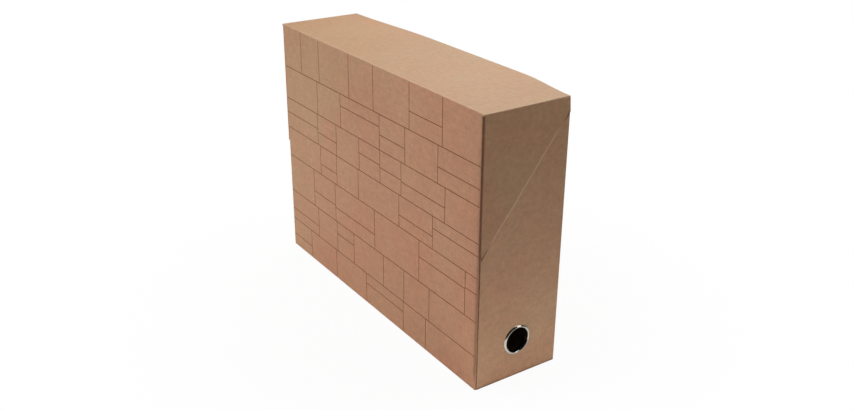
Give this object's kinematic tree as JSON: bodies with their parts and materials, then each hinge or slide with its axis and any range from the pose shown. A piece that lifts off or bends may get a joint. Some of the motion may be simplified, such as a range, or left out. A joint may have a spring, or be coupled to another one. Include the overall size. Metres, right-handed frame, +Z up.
{
  "type": "archive box",
  "caption": "Upright archive box of paper-wrapped board with a flip-top lid hinged along the back, slant-edged end flaps and a metal finger ring in the spine.",
  "frame": {"origin": "under the middle of the closed box, on the surface it stands on", "axes": "+X towards the spine end with the finger ring, +Y towards the back, +Z up; the large front faces -Y"},
  "size_m": [0.35, 0.09, 0.255],
  "materials": {
    "grey_board": "raw pressed board",
    "kraft_cover": "matte kraft paper",
    "lining_paper": "matte lining paper",
    "corner_tape": "gummed kraft tape",
    "hinge_cloth": "woven binding cloth",
    "nickel": "bright nickel plate"
  },
  "bodies": {
    "box": {"bottom_board": "grey_board", "back_board": "grey_board", "spine_board": "grey_board", "end_board": "grey_board", "tray_front_board": "grey_board", "bottom_cover": "kraft_cover", "back_cover": "kraft_cover", "spine_cover": "kraft_cover", "end_cover": "kraft_cover", "tray_front_cover": "kraft_cover", "bottom_liner": "lining_paper", "back_liner": "lining_paper", "spine_liner": "lining_paper", "end_liner": "lining_paper", "tray_front_liner": "lining_paper", "spine_front_tape": "corner_tape", "spine_back_tape": "corner_tape", "end_front_tape": "corner_tape", "end_back_tape": "corner_tape", "finger_ring": "nickel", "ring_washer": "nickel", "hinge_cloth_box": "hinge_cloth"},
    "lid": {"top_board": "grey_board", "front_board": "grey_board", "lip_board": "grey_board", "spine_flap_board": "grey_board", "end_flap_board": "grey_board", "lid_cover": "kraft_cover", "top_liner": "lining_paper", "front_liner": "lining_paper", "spine_flap_liner": "lining_paper", "end_flap_liner": "lining_paper", "spine_lid_tape": "corner_tape", "end_lid_tape": "corner_tape", "hinge_cloth_lid": "hinge_cloth"}
  },
  "joints": [
    {"name": "lid_hinge", "type": "hinge", "parent": "box", "child": "lid", "pos_m": [0, 0.045, 0.2435], "axis": [-1, 0, 0], "range_deg": [0, 175]}
  ]
}
